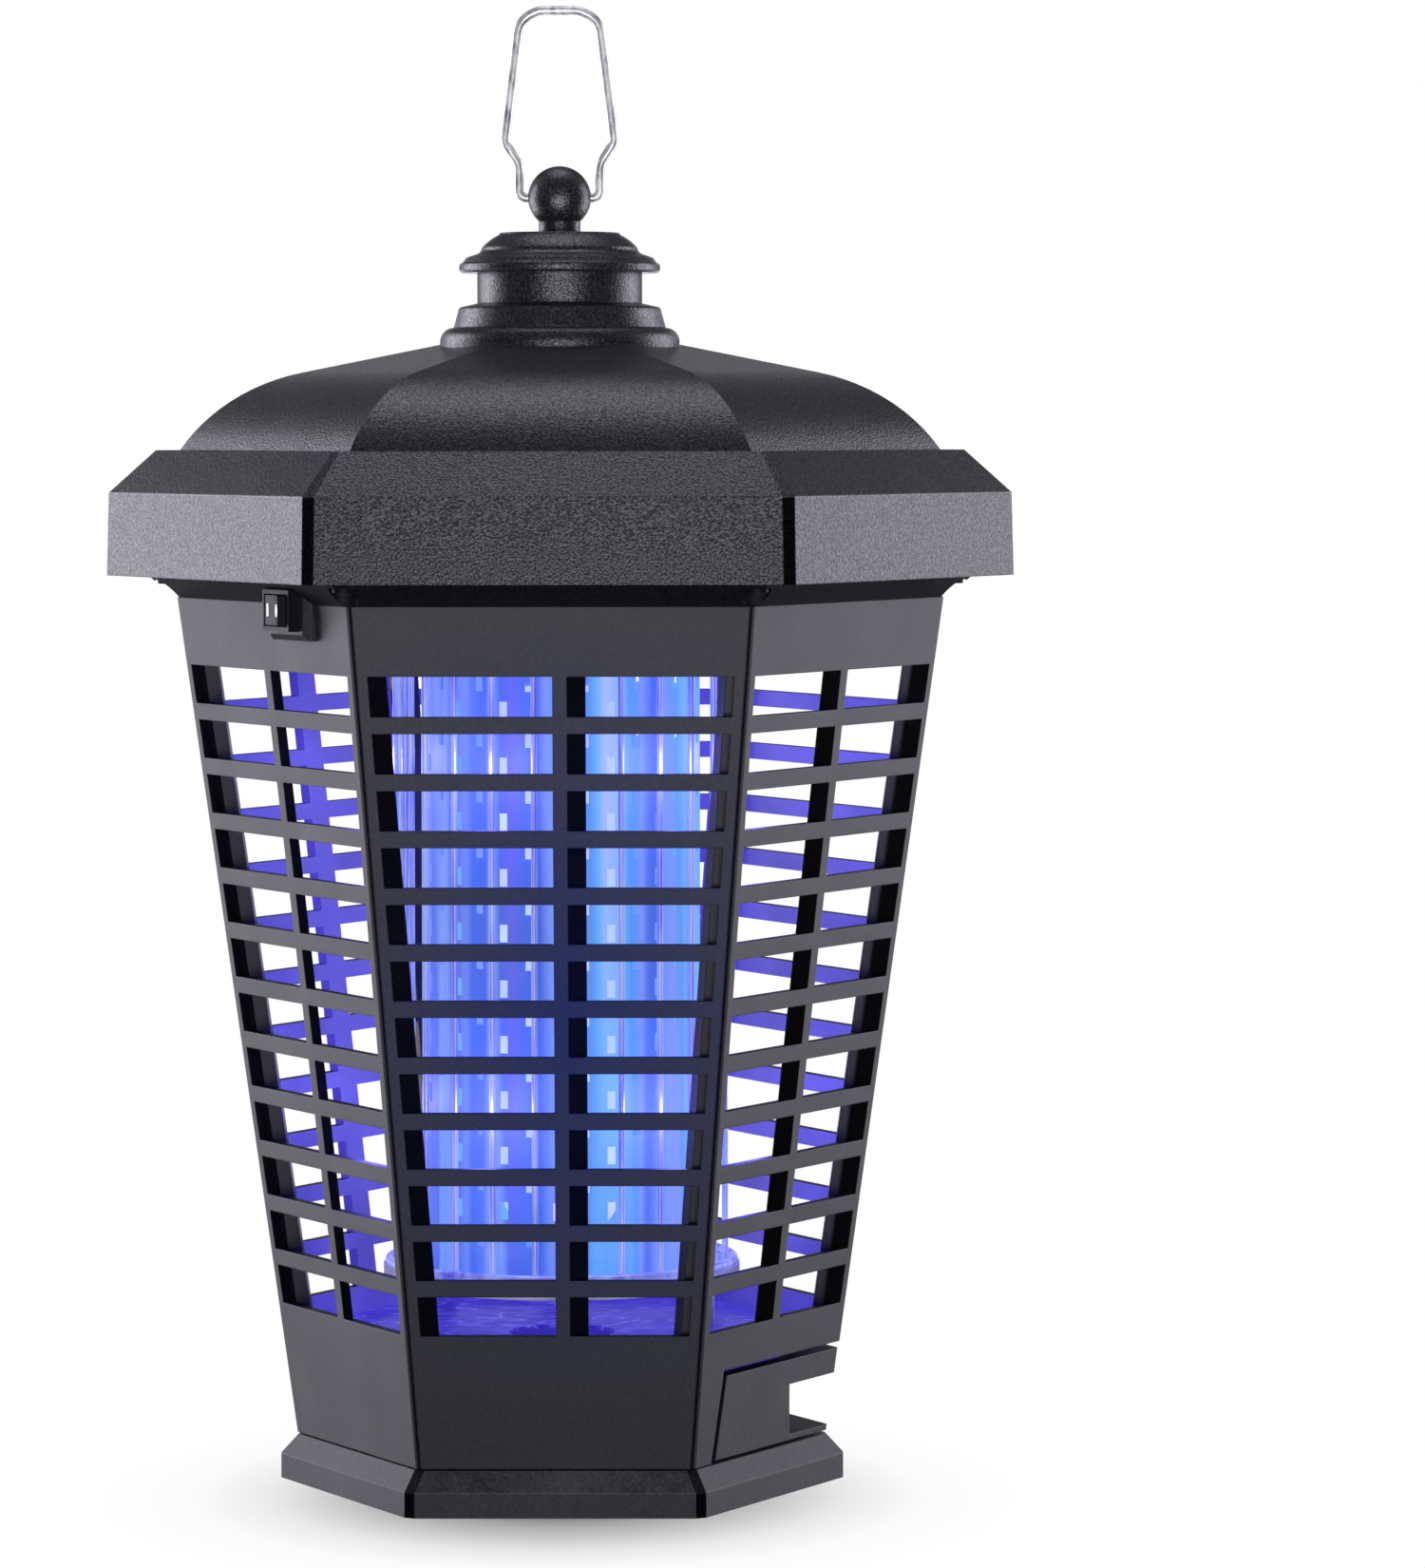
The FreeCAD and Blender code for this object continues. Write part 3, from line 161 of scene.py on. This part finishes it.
# ------------------------------------------------------------------ materials
class Surface:
    """A procedural material: a Principled shader with helpers for object-space patterns."""

    def __init__(self, name, colour, roughness, metallic=0.0, specular=0.5):
        self.material = bpy.data.materials.new(name)
        self.material.use_nodes = True
        tree = self.material.node_tree
        self.nodes, self.links = tree.nodes, tree.links
        self.shader = self.nodes["Principled BSDF"]
        self.set("Base Color", (*colour, 1))
        self.set("Roughness", roughness)
        self.set("Metallic", metallic)
        self.set("Specular IOR Level", specular)
        self.place = self.nodes.new("ShaderNodeTexCoord").outputs["Object"]

    def set(self, name, number):
        self.shader.inputs[name].default_value = number

    def math(self, kind, first, second=0.0, third=None):
        item = self.nodes.new("ShaderNodeMath")
        item.operation = kind
        for socket, entry in zip(item.inputs, (first, second, third)):
            if entry is None:
                continue
            if isinstance(entry, (int, float)):
                socket.default_value = entry
            else:
                self.links.new(entry, socket)
        return item.outputs[0]

    def squares(self, first, second):
        """The sum of two squares."""
        return self.math("ADD", self.math("POWER", first, 2.0), self.math("POWER", second, 2.0))

    def without(self, factor):
        """1 minus a factor."""
        return self.math("SUBTRACT", 1.0, factor)

    def noise(self, size, detail=3.0, roughness=0.55, stretch=(1, 1, 1)):
        """Noise whose features are about size metres across."""
        mapping = self.nodes.new("ShaderNodeMapping")
        mapping.inputs["Scale"].default_value = stretch
        self.links.new(self.place, mapping.inputs["Vector"])
        item = self.nodes.new("ShaderNodeTexNoise")
        item.inputs["Scale"].default_value = 1 / size
        item.inputs["Detail"].default_value = detail
        item.inputs["Roughness"].default_value = roughness
        self.links.new(mapping.outputs[0], item.inputs["Vector"])
        return item.outputs["Fac"]

    def ramp(self, factor, *stops):
        item = self.nodes.new("ShaderNodeValToRGB")
        item.color_ramp.elements[0].position = stops[0][0]
        item.color_ramp.elements[1].position = stops[-1][0]
        for place, _ in stops[1:-1]:
            item.color_ramp.elements.new(place)
        for element, (_, colour) in zip(item.color_ramp.elements, stops):
            element.color = (*colour, 1) if len(colour) == 3 else colour
        self.links.new(factor, item.inputs["Fac"])
        return item.outputs["Color"]

    def spread(self, factor, low, high):
        """Map a 0..1 factor onto low..high."""
        item = self.nodes.new("ShaderNodeMapRange")
        item.inputs["To Min"].default_value = low
        item.inputs["To Max"].default_value = high
        self.links.new(factor, item.inputs["Value"])
        return item.outputs["Result"]

    def contrast(self, factor, low, high):
        """Stretch the part of a factor between low and high to 0..1."""
        item = self.nodes.new("ShaderNodeMapRange")
        item.inputs["From Min"].default_value = low
        item.inputs["From Max"].default_value = high
        self.links.new(factor, item.inputs["Value"])
        return item.outputs["Result"]

    def axis(self, name):
        item = self.nodes.new("ShaderNodeSeparateXYZ")
        self.links.new(self.place, item.inputs[0])
        return item.outputs[name]

    def feed(self, name, output):
        self.links.new(output, self.shader.inputs[name])

    def facing(self, name):
        """One part of the surface's own direction, in object space."""
        item = self.nodes.new("ShaderNodeSeparateXYZ")
        self.links.new(self.nodes.new("ShaderNodeTexCoord").outputs["Normal"], item.inputs[0])
        return item.outputs[name]

    def corners(self):
        """1 on upright faces that look along one of the six corner directions, 0 elsewhere."""
        azimuth = self.math("ARCTAN2", self.facing("Y"), self.facing("X"))
        corner = self.math("GREATER_THAN", self.math("COSINE", self.math("MULTIPLY", azimuth, 6.0)), 0.5)
        upright = self.math("LESS_THAN", self.math("ABSOLUTE", self.facing("Z")), 0.8)
        return self.math("MULTIPLY", corner, upright)

    def below(self, height):
        return self.math("LESS_THAN", self.axis("Z"), height)

    def inward(self, centre=(0.0, 0.0)):
        """1 on faces that look at an upright line through centre, in object space, 0 elsewhere."""
        along = self.math("MULTIPLY", self.facing("X"), self.math("SUBTRACT", self.axis("X"), centre[0]))
        across = self.math("MULTIPLY", self.facing("Y"), self.math("SUBTRACT", self.axis("Y"), centre[1]))
        return self.math("LESS_THAN", self.math("ADD", along, across), -0.03)

    def edges(self, radius):
        """1 along edges, within about radius metres of them, 0 on the flats."""
        bevel = self.nodes.new("ShaderNodeBevel")
        bevel.samples = 4
        bevel.inputs["Radius"].default_value = radius
        dot = self.nodes.new("ShaderNodeVectorMath")
        dot.operation = "DOT_PRODUCT"
        self.links.new(bevel.outputs[0], dot.inputs[0])
        self.links.new(self.nodes.new("ShaderNodeNewGeometry").outputs["True Normal"], dot.inputs[1])
        return self.math("MULTIPLY", self.without(dot.outputs["Value"]), 5.0)

    def mixed(self, factor, first, second):
        """Blend of two colours, each a tuple or an output."""
        item = self.nodes.new("ShaderNodeMix")
        item.data_type = "RGBA"
        self.links.new(factor, item.inputs[0])
        for socket, colour in ((item.inputs[6], first), (item.inputs[7], second)):
            if isinstance(colour, tuple):
                socket.default_value = (*colour, 1)
            else:
                self.links.new(colour, socket)
        return item.outputs[2]

    def scaled(self, colour, level):
        item = self.nodes.new("ShaderNodeVectorMath")
        item.operation = "SCALE"
        self.links.new(colour, item.inputs[0])
        self.links.new(level, item.inputs["Scale"])
        return item.outputs[0]

    def bump(self, height, distance, strength=1.0, rounding=0.0):
        """Bump on top of edges softened by rounding metres."""
        item = self.nodes.new("ShaderNodeBump")
        item.inputs["Strength"].default_value = strength
        item.inputs["Distance"].default_value = distance
        self.links.new(height, item.inputs["Height"])
        if rounding:
            bevel = self.nodes.new("ShaderNodeBevel")
            bevel.samples = 4
            bevel.inputs["Radius"].default_value = rounding
            self.links.new(bevel.outputs[0], item.inputs["Normal"])
        self.feed("Normal", item.outputs[0])


def haze_on(surface):
    """1 in the middle of the painted blue glow on the front panel, falling to 0 at its sides, top and
    bottom.
    """
    rise = surface.math("ABSOLUTE", surface.math(
        "DIVIDE", surface.math("SUBTRACT", surface.axis("Z"), HAZE_HEIGHT), HAZE_REACH))
    out = surface.math("ABSOLUTE", surface.math(
        "DIVIDE", surface.math("SUBTRACT", surface.axis("X"), HAZE_MIDDLE), HAZE_WIDTH))
    return surface.math("MULTIPLY", surface.math("MAXIMUM", surface.without(rise), 0.0),
                        surface.math("MAXIMUM", surface.without(out), 0.0))


def body_plastic(name="body_plastic", colour=(0.034, 0.035, 0.038), grain=0.5, panel=False, glow=0.0,
                 painted_shade_corners=False, edge_highlight=0.0):
    """Smooth satin moulding: faint mottling, fine texture, softened edges, with painted shade that darkens
    it towards the ground. Options add a painted edge highlight, painted shade on reveals and corners,
    painted lamp light on inner faces and a painted blue glow.
    """
    surface = Surface(name, colour, 0.5)
    mottle = surface.noise(0.02, 4)
    fine = surface.noise(0.0009, 2, 0.6)
    both = surface.math("ADD", surface.math("MULTIPLY", mottle, 0.5), surface.math("MULTIPLY", fine, 0.5))
    tone = [tuple(part * scale for part in colour) for scale in (1 - grain * 0.7, 1 + grain * 0.7)]
    shade = surface.ramp(both, (0.36, tone[0]), (0.64, tone[1]))
    # Painted shade: colour and specular level fall towards the ground.
    level = surface.spread(surface.math("MULTIPLY", surface.axis("Z"), 4.4), 0.55, 1.0)
    # Painted highlight: colour brightened along edges, by the given strength.
    if edge_highlight:
        level = surface.math("ADD", level, surface.math("MULTIPLY", surface.edges(EDGE), edge_highlight))
    dark = None
    if panel:
        # Painted shade: window reveals and corner facets darkened.
        reveal = surface.math("GREATER_THAN", surface.math("ABSOLUTE", surface.facing("Z")), 0.7)
        hidden = surface.math("MAXIMUM", reveal, surface.corners())
        dark = surface.math("MULTIPLY", hidden, 0.85)
        # Painted lamp light: violet emission on faces turned in to the lamp and on the rear panels' faces
        # seen through the windows.
        rear = surface.math("MULTIPLY", surface.math("GREATER_THAN", surface.axis("Y"), 0.02),
                            surface.math("LESS_THAN", surface.facing("Y"), -0.3))
        surface.feed("Emission Color", surface.ramp(surface.noise(0.03, 2), (0.3, (0.05, 0.035, 0.5)),
                                                    (0.7, (0.09, 0.07, 0.75))))
        open_face = surface.math("MULTIPLY", surface.inward(), surface.without(hidden))
        lit = surface.math("MAXIMUM", open_face, rear)
        surface.feed("Emission Strength", surface.math("MULTIPLY", lit, 0.8))
    elif painted_shade_corners:
        # Painted shade darkens the corner facets; painted light brightens faces that tilt up and face the
        # front.
        dark = surface.math("MULTIPLY", surface.corners(), 0.85)
        ahead = surface.spread(surface.math("LESS_THAN", surface.facing("Y"), -0.6), 1.8, 4.0)
        slope = surface.math("MULTIPLY", surface.math("MAXIMUM", surface.facing("Z"), 0.0), ahead)
        level = surface.math("MULTIPLY", level, surface.math("ADD", slope, 1.0))
    if glow:
        # Painted glow: blue-violet emission over the front panel's middle, stronger on inward faces, over a
        # darkened colour.
        near = haze_on(surface)
        wash = surface.math("MULTIPLY", near, surface.without(dark))
        dark = surface.math("MAXIMUM", dark, surface.math("MULTIPLY", near, 0.6))
        surface.feed("Emission Color", surface.mixed(surface.inward(), (0.02, 0.09, 0.8), (0.5, 0.4, 3.0)))
        surface.feed("Emission Strength", surface.math("MULTIPLY", wash, glow))
    if dark:
        level = surface.math("MULTIPLY", level, surface.without(dark))
    surface.feed("Base Color", surface.scaled(shade, level))
    surface.feed("Specular IOR Level", surface.math("MULTIPLY", level, 0.5))
    surface.feed("Roughness", surface.spread(mottle, 0.44, 0.56))
    surface.bump(fine, 0.00009 * grain, 0.6, 0.00045)
    return surface.material


def frame_shaded_plastic():
    """The upper frame's underside: the body's moulding in a darker, duller black, as painted shade under the
    brim.
    """
    surface = Surface("frame_shaded_plastic", (0.012, 0.012, 0.014), 0.6, specular=0.25)
    surface.feed("Base Color", surface.ramp(surface.noise(0.0011, 2), (0.36, (0.008, 0.008, 0.009)),
                                            (0.64, (0.017, 0.017, 0.02))))
    surface.bump(surface.noise(0.0006, 2), 0.00004, 0.5, 0.0004)
    return surface.material


def roof_plastic():
    """Sand-textured charcoal moulding: grain under a millimetre across, each grain tilted its own way.
    Painted light makes the dome lighter and glossier than the brim, and the brim's corners carry painted
    shade.
    """
    surface = Surface("roof_plastic", (0.02, 0.02, 0.022), 0.4)
    grain = surface.noise(0.0006, 1.5, 0.6)
    shade = surface.ramp(grain, (0.36, (0.006, 0.006, 0.007)), (0.5, (0.017, 0.017, 0.019)),
                         (0.64, (0.05, 0.05, 0.053)))
    speck = surface.contrast(grain, 0.38, 0.62)
    brim = surface.below(BRIM_TOP)
    # Painted shade on the brim's corner facets.
    corner = surface.math("MULTIPLY", surface.math("MULTIPLY", surface.corners(), brim), 0.8)
    # Painted highlight along the roof's edges.
    edge_highlight = surface.math("MULTIPLY", surface.edges(EDGE), 2.0)
    # Painted light: the dome's colour and gloss are raised over the brim's.
    level = surface.math("ADD", surface.spread(brim, 1.25, 0.85), edge_highlight)
    level = surface.math("MULTIPLY", level, surface.without(corner))
    surface.feed("Base Color", surface.scaled(shade, level))
    gloss = surface.math("MULTIPLY", surface.spread(speck, 0.5, 1.15), surface.spread(brim, 1.35, 0.72))
    surface.feed("Specular IOR Level", surface.math("MULTIPLY", gloss, surface.without(corner)))
    surface.feed("Roughness", surface.spread(speck, 0.36, 0.3))
    surface.bump(grain, 0.0002, 0.7, EDGE)
    return surface.material


def switch_plastic():
    surface = Surface("switch_plastic", (0.008, 0.008, 0.009), 0.45, specular=0.25)
    surface.feed("Roughness", surface.spread(surface.noise(0.003, 3), 0.4, 0.55))
    surface.bump(surface.noise(0.0005, 2), 0.00002, 0.4, 0.0002)
    return surface.material


def mark_white():
    surface = Surface("mark_white", (0.9, 0.9, 0.9), 0.4)
    surface.feed("Base Color", surface.ramp(surface.noise(0.0008), (0.3, (0.8, 0.8, 0.8)),
                                            (0.7, (0.95, 0.95, 0.95))))
    # Painted light: the marks glow white whatever lights them.
    surface.set("Emission Color", (1, 1, 1, 1))
    surface.set("Emission Strength", 0.9)
    return surface.material


def insulator_white():
    surface = Surface("insulator_white", (0.75, 0.76, 0.8), 0.4)
    surface.feed("Roughness", surface.spread(surface.noise(0.003), 0.3, 0.5))
    surface.bump(surface.noise(0.0007), 0.00003, 0.5, 0.0004)
    surface.set("Subsurface Weight", 0.0)
    return surface.material


def bright_wire():
    """Bright plated wire, lightly scratched along and around, with painted highlights streaked along it."""
    surface = Surface("bail_wire", (0.85, 0.85, 0.86), 0.25, 0.7)
    surface.feed("Roughness", surface.spread(surface.noise(0.0012, 4, stretch=(1, 1, 0.15)), 0.12, 0.34))
    surface.feed("Base Color", surface.ramp(surface.noise(0.006, 3), (0.3, (0.5, 0.5, 0.51)),
                                            (0.7, (0.8, 0.8, 0.8))))
    # Painted reflection: streaky grey-white emission stands in for the bright surroundings the wire would
    # mirror.
    surface.feed("Emission Color", surface.ramp(surface.noise(0.0022, 3, stretch=(1, 1, 0.35)),
                                                (0.38, (0.1, 0.1, 0.1)), (0.62, (0.75, 0.75, 0.77))))
    surface.set("Emission Strength", 0.55)
    surface.bump(surface.noise(0.0004, 3, stretch=(1, 1, 0.2)), 0.00002, 0.5)
    return surface.material


def black_steel():
    """Blackened screw heads, sunk in the soffit."""
    surface = Surface("black_steel", (0.012, 0.012, 0.013), 0.5, 0.2, specular=0.2)
    surface.feed("Roughness", surface.spread(surface.noise(0.001, 3), 0.4, 0.65))
    surface.bump(surface.noise(0.0005, 2), 0.00003, 0.5)
    return surface.material


def zinc_steel():
    surface = Surface("zinc_steel", (0.55, 0.55, 0.53), 0.35, 1.0)
    surface.feed("Roughness", surface.spread(surface.noise(0.001, 3), 0.25, 0.5))
    return surface.material


def grid_metal():
    """Bare grid rods, with the lamp's colour painted on them as emission."""
    surface = Surface("grid_metal", (0.3, 0.34, 0.6), 0.35, 0.6)
    streak = surface.noise(0.004, 3, stretch=(1, 1, 0.1))
    surface.feed("Roughness", surface.spread(streak, 0.22, 0.42))
    # Painted lamp light: blue streaks of emission.
    surface.feed("Emission Color", surface.ramp(streak, (0.38, (0.1, 0.1, 0.75)), (0.6, (0.42, 0.5, 1.0))))
    surface.set("Emission Strength", 0.5)
    return surface.material


def lit_mesh():
    """Slotted inner electrode with the lamp's light behind it painted on as emission: upright bands of
    lilac, blue and cyan.
    """
    surface = Surface("lit_mesh", (0.12, 0.16, 0.45), 0.5, 0.0, specular=0.2)
    bands = surface.noise(0.014, 2, 0.5, stretch=(1, 1, 0.02))
    surface.feed("Emission Color", surface.ramp(
        bands, (0.3, (0.13, 0.14, 0.66)), (0.4, (0.05, 0.16, 0.64)), (0.48, (0.25, 0.37, 0.84)),
        (0.56, (0.09, 0.36, 0.84)), (0.64, (0.19, 0.56, 0.92)), (0.72, (0.55, 0.64, 0.98))))
    surface.set("Emission Strength", 0.7)
    return surface.material


def lamp_glass():
    surface = Surface("lamp_glass", (0.8, 0.85, 1.0), 0.2)
    glow = surface.noise(0.03, 2)
    surface.feed("Emission Color", surface.ramp(glow, (0.3, (0.22, 0.2, 1.0)), (0.7, (0.4, 0.42, 1.0))))
    surface.set("Emission Strength", 1.2)
    return surface.material


def floor_plastic():
    """Glossy dish under the grid, its surface rippled, with the lamp's light painted on it as fine emissive
    lines.
    """
    surface = Surface("floor_plastic", (0.012, 0.012, 0.03), 0.35, specular=0.15)
    ripple = surface.noise(0.016, 1.5, 0.4, stretch=(0.7, 1.5, 1))
    line = surface.math("PINGPONG", surface.math("MULTIPLY", ripple, 9.0), 0.5)
    surface.feed("Roughness", surface.spread(surface.noise(0.004), 0.3, 0.45))
    surface.feed("Emission Color", surface.ramp(line, (0.0, (0.13, 0.12, 0.8)), (0.1, (0.045, 0.033, 0.56)),
                                                (0.5, (0.028, 0.02, 0.42))))
    # Painted lamp light on faces turned up and round the drop hole's rim.
    from_middle = surface.squares(surface.axis("X"), surface.axis("Y"))
    hole_rim = surface.math("LESS_THAN", from_middle, RIM_REACH ** 2)
    up = surface.math("GREATER_THAN", surface.facing("Z"), 0.5)
    lit = surface.math("MAXIMUM", up, hole_rim)
    surface.feed("Emission Strength", surface.math("MULTIPLY", lit, 0.9))
    surface.bump(ripple, 0.0005, 0.5)
    return surface.material


def tray_plastic():
    """The tray: the body's moulding outside, with painted shade on its side slots and flat faces, a painted
    edge highlight, and painted lamp light on its inner faces.
    """
    surface = Surface("tray_plastic", (0.034, 0.035, 0.038), 0.5)
    mottle = surface.noise(0.02, 4)
    fine = surface.noise(0.0009, 2, 0.6)
    # Painted shade: side-slot walls and flat faces darkened.
    side = surface.math("GREATER_THAN", surface.math("ABSOLUTE", surface.facing("Y")), 0.9)
    flat = surface.math("GREATER_THAN", surface.math("ABSOLUTE", surface.facing("Z")), 0.7)
    painted_shade = surface.math("MULTIPLY", surface.math("MAXIMUM", side, flat), 0.85)
    # Painted highlight along edges, over a dimmed base level.
    bright = surface.math("ADD", surface.math("MULTIPLY", surface.edges(EDGE), 0.8), 0.62)
    level = surface.math("MULTIPLY", surface.without(painted_shade), bright)
    shade = surface.ramp(fine, (0.36, (0.022, 0.022, 0.024)), (0.64, (0.046, 0.047, 0.051)))
    surface.feed("Base Color", surface.scaled(shade, level))
    surface.feed("Specular IOR Level", surface.math("MULTIPLY", level, 0.5))
    surface.feed("Roughness", surface.spread(mottle, 0.44, 0.56))
    # Painted lamp light on the faces turned in towards the tray's middle.
    surface.feed("Emission Color", surface.ramp(mottle, (0.3, (0.03, 0.024, 0.42)),
                                                (0.7, (0.045, 0.035, 0.52))))
    origin = NODES["catch_tray"].matrix_world.translation
    low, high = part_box("catch_tray")
    centre = [(low[part] + high[part]) / 2 - origin[part] for part in (0, 1)]
    surface.feed("Emission Strength", surface.math("MULTIPLY", surface.inward(centre), 0.8))
    surface.bump(fine, 0.00005, 0.6, 0.00045)
    return surface.material


def plain_parts():
    """Board, components and leads inside the roof."""
    surfaces = {}
    for name, colour, roughness in (("circuit_green", (0.02, 0.14, 0.05), 0.35),
                                    ("component_dark", (0.03, 0.03, 0.06), 0.4),
                                    ("lead_insulation", (0.4, 0.02, 0.015), 0.45)):
        surface = Surface(name, colour, roughness)
        darker = tuple(part * 0.7 for part in colour)
        surface.feed("Base Color", surface.ramp(surface.noise(0.003), (0.35, darker), (0.65, colour)))
        surface.bump(surface.noise(0.0008), 0.00005, 0.5)
        surfaces[name] = surface.material
    return surfaces


def dress():
    """Give every CAD node its material, by the record's slot or by name."""
    slots = {"body_plastic": body_plastic(), "roof_plastic": roof_plastic(),
             "switch_plastic": switch_plastic(), "mark_white": mark_white(),
             "insulator_white": insulator_white(), "bail_wire": bright_wire(), "zinc_steel": zinc_steel(),
             "grid_metal": grid_metal(), "lamp_glass": lamp_glass(), **plain_parts()}
    special = {"cage_floor": floor_plastic(), "inner_grid": lit_mesh(), "upper_frame": frame_shaded_plastic(),
               "catch_tray": tray_plastic(), "roof_screws": black_steel(),
               "base_plinth": body_plastic("base_plastic", grain=1.0, painted_shade_corners=True, edge_highlight=1.2)}
    walls = body_plastic("panel_plastic", panel=True, edge_highlight=0.5)
    # Painted shade: the corner posts take a darker copy of the moulding, so gaps in front of them look
    # black.
    posts = body_plastic("post_shaded_plastic", (0.01, 0.01, 0.012))
    for name in NODES:
        if name.startswith("panel_"):
            special[name] = walls
        elif name.startswith("corner_post"):
            special[name] = posts
    # The front panel carries the painted blue glow.
    special["panel_front"] = body_plastic("front_plastic", panel=True, glow=0.11)
    for part in frame["record"]["subparts"]:
        item = NODES[part["node"]]
        material = special.get(part["node"], slots[part["material_slot"]])
        item.data.materials.clear()
        item.data.materials.append(material)


add_camera()
add_world()
add_floor()
add_lights()
dress()
bpy.context.scene.view_settings.view_transform = "Standard"
